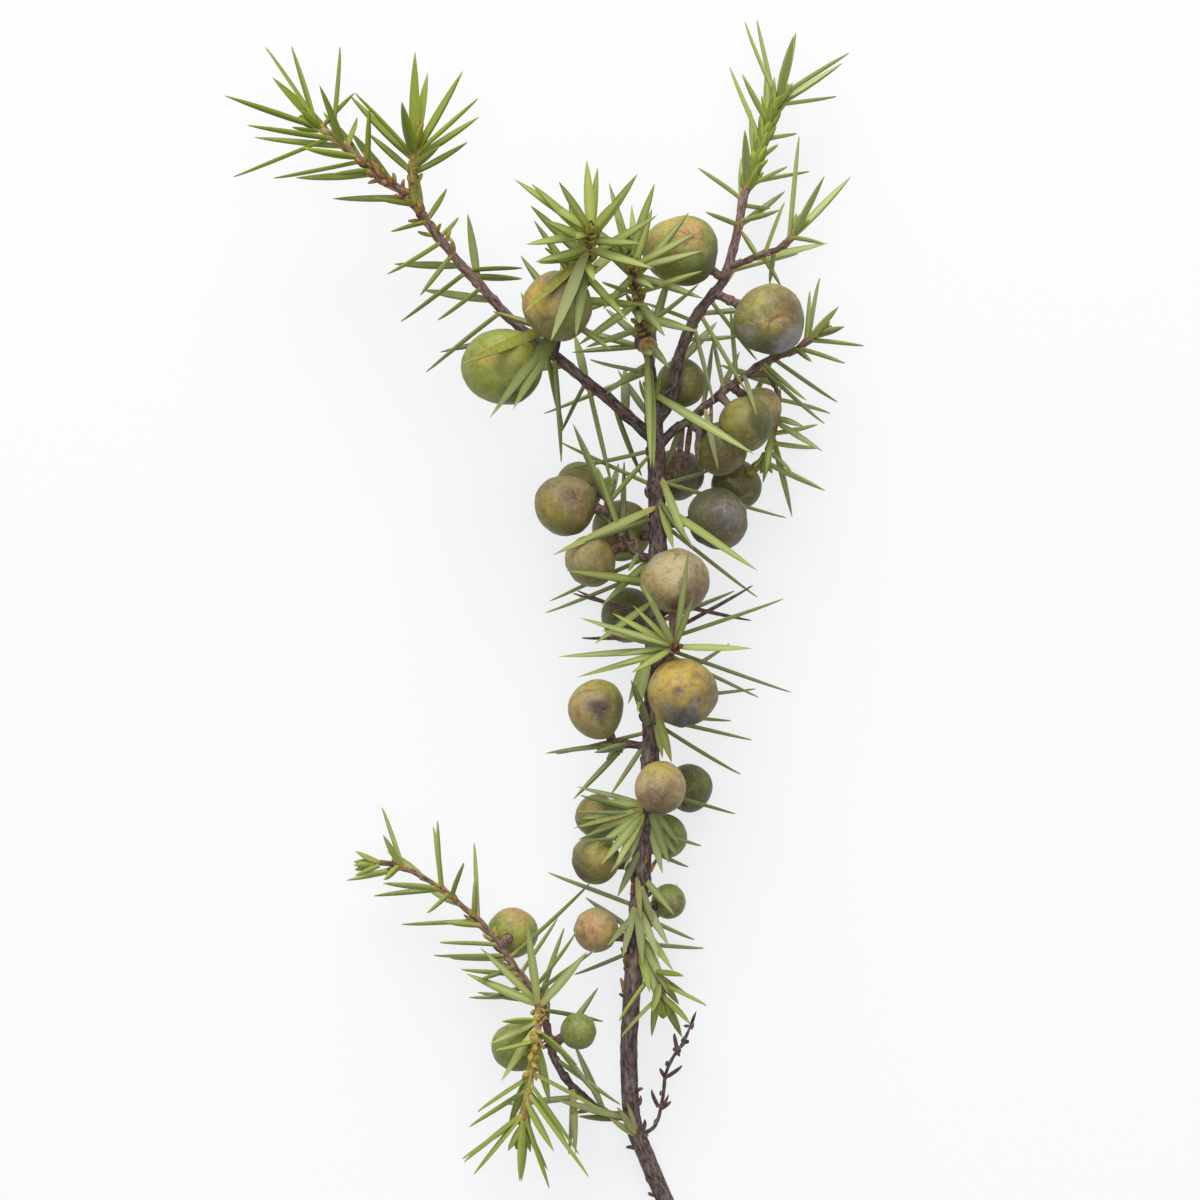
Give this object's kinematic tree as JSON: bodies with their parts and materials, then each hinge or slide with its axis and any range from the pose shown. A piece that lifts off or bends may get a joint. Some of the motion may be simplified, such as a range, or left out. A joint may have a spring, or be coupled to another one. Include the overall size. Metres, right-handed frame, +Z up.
{
  "type": "juniper berry sprig",
  "caption": "Cut sprig of juniper with thin woody twigs, sharp needles in whorls and round berries on short stalks, lying flat on a surface.",
  "frame": {"origin": "centre of the sprig's box, on the surface that it lies on", "axes": "+X across the sprig, +Y along the stem towards its growing tips, +Z up from the surface"},
  "size_m": [0.0702, 0.1378, 0.0336],
  "materials": {
    "bark": "rough, scaly, dark red-brown",
    "needles": "waxy yellow-green with a paler band above",
    "berry_skin": "smooth olive skin with a dusty grey-blue bloom"
  },
  "bodies": {
    "root": {"bare_twiglet": "bark", "berry_front_spur_1": "berry_skin", "berry_front_spur_2": "berry_skin", "berry_left_branch_1": "berry_skin", "berry_left_front_shoot_1": "berry_skin", "berry_left_spur_1": "berry_skin", "berry_left_spur_2": "berry_skin", "berry_left_spur_3": "berry_skin", "berry_low_front_shoot_1": "berry_skin", "berry_low_left_spur_1": "berry_skin", "berry_low_twig_1": "berry_skin", "berry_low_twig_2": "berry_skin", "berry_main_stem_1": "berry_skin", "berry_main_stem_10": "berry_skin", "berry_main_stem_11": "berry_skin", "berry_main_stem_2": "berry_skin", "berry_main_stem_3": "berry_skin", "berry_main_stem_4": "berry_skin", "berry_main_stem_5": "berry_skin", "berry_main_stem_6": "berry_skin", "berry_main_stem_7": "berry_skin", "berry_main_stem_8": "berry_skin", "berry_main_stem_9": "berry_skin", "berry_right_branch_1": "berry_skin", "berry_right_branch_2": "berry_skin", "berry_right_branch_3": "berry_skin", "berry_right_hanging_shoot_1": "berry_skin", "berry_right_low_branch_1": "berry_skin", "berry_right_low_branch_2": "berry_skin", "berry_right_low_branch_3": "berry_skin", "front_spur": "needles", "leader_shoot": "needles", "left_branch": "needles", "left_front_shoot": "needles", "left_side_shoot": "needles", "left_spur": "needles", "low_front_shoot": "needles", "low_left_spur": "needles", "low_right_spur": "needles", "low_twig": "needles", "main_stem": "bark", "right_branch": "needles", "right_hanging_shoot": "needles", "right_low_branch": "needles", "right_side_shoot": "needles"}
  },
  "joints": []
}
